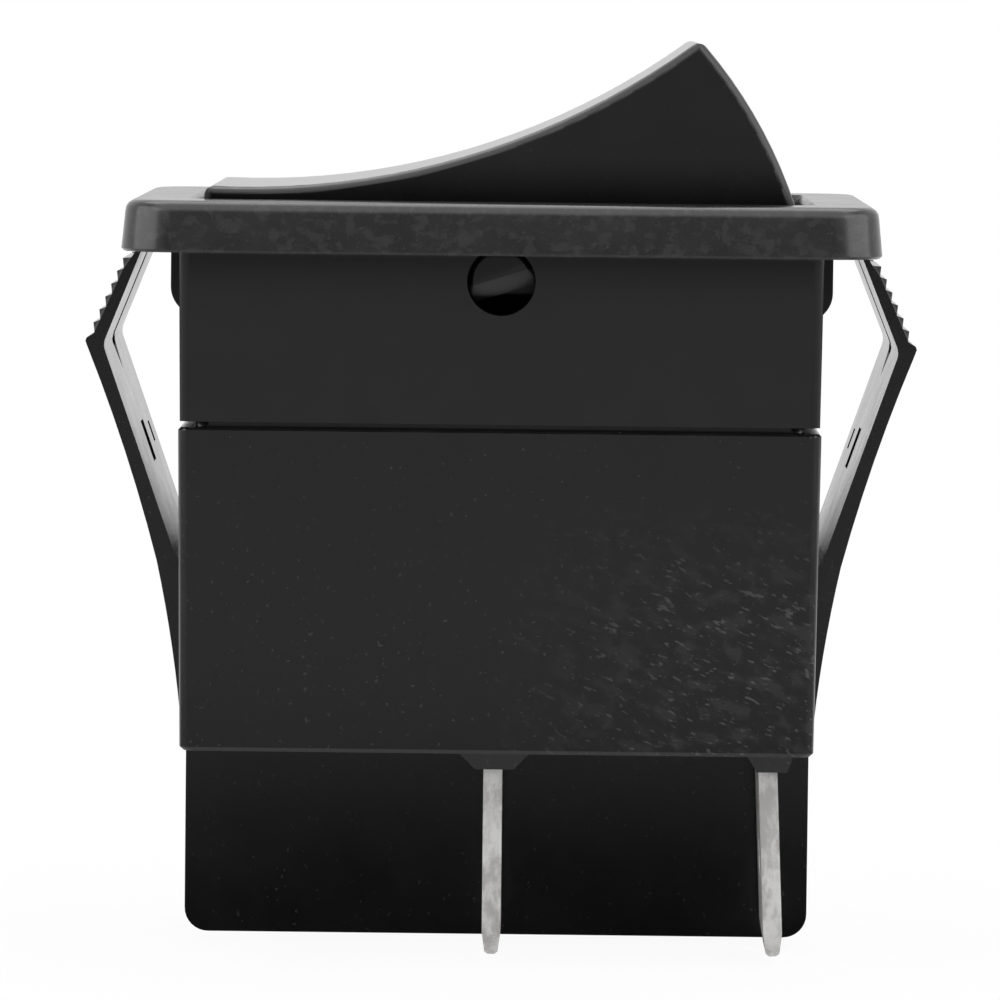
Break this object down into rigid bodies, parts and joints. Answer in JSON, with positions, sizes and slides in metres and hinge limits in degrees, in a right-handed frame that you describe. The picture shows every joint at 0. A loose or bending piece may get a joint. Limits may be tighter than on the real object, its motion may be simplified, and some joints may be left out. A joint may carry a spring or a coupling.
{
  "type": "panel rocker switch",
  "caption": "Snap-in panel rocker switch: bezel with a hollow-topped rocker, box body with sprung stepped wings, a barrier between its poles and push-on tabs below.",
  "frame": {"origin": "centre of the bezel's underside, in the plane that seats on the panel", "axes": "+X along the switch to the load terminals and the raised end of the rocker, +Y across it to the far pole, +Z out of the panel towards the user"},
  "size_m": [0.0364, 0.0254, 0.0401],
  "materials": {
    "black_thermoplastic": "moulded black thermoplastic with a fine dull surface",
    "black_rocker": "moulded black thermoplastic with a soft satin surface",
    "natural_plastic": "natural white slippery plastic",
    "spring_steel": "drawn spring wire",
    "copper_alloy": "stamped copper alloy strip",
    "silver_contact": "silver-faced contact rivet",
    "tin_plate": "tin-plated brass strip with fine stamping lines",
    "brass_strip": "stamped brass strip",
    "rivet_metal": "plated rivet"
  },
  "bodies": {
    "housing": {"frame": "black_thermoplastic", "base": "black_thermoplastic", "near_common_terminal": "tin_plate", "near_cradle": "brass_strip", "near_cradle_rivet": "rivet_metal", "near_load_terminal": "tin_plate", "near_fixed_contact": "silver_contact", "far_common_terminal": "tin_plate", "far_cradle": "brass_strip", "far_cradle_rivet": "rivet_metal", "far_load_terminal": "tin_plate", "far_fixed_contact": "silver_contact"},
    "rocker": {"rocker": "black_rocker", "near_plunger_spring": "spring_steel", "far_plunger_spring": "spring_steel"},
    "near_plunger": {"near_plunger": "natural_plastic"},
    "far_plunger": {"far_plunger": "natural_plastic"},
    "near_arm": {"near_contact_arm": "copper_alloy", "near_moving_contact": "silver_contact"},
    "far_arm": {"far_contact_arm": "copper_alloy", "far_moving_contact": "silver_contact"}
  },
  "joints": [
    {"name": "rocker_tilt", "type": "hinge", "parent": "housing", "child": "rocker", "pos_m": [0, 0, -0.00117], "axis": [0, 1, 0], "range_deg": [0, 34]},
    {"name": "near_plunger_slide", "type": "slide", "parent": "rocker", "child": "near_plunger", "axis": [-0.2924, 0, 0.9563], "range_m": [0, 0.0012], "stiffness_N_per_m": 600, "springref_m": -0.002, "deforming": ["near_plunger_spring"]},
    {"name": "near_arm_tilt", "type": "hinge", "parent": "housing", "child": "near_arm", "pos_m": [0, -0.0053, -0.01107], "axis": [0, 1, 0], "range_deg": [-18.1, 0.1]},
    {"name": "far_plunger_slide", "type": "slide", "parent": "rocker", "child": "far_plunger", "axis": [-0.2924, 0, 0.9563], "range_m": [0, 0.0012], "stiffness_N_per_m": 600, "springref_m": -0.002, "deforming": ["far_plunger_spring"]},
    {"name": "far_arm_tilt", "type": "hinge", "parent": "housing", "child": "far_arm", "pos_m": [0, 0.0053, -0.01107], "axis": [0, 1, 0], "range_deg": [-18.1, 0.1]}
  ],
  "couplings": [
    {"joint": "near_arm_tilt", "follows": "rocker_tilt", "ratio": -0.52941},
    {"joint": "far_arm_tilt", "follows": "rocker_tilt", "ratio": -0.52941}
  ]
}
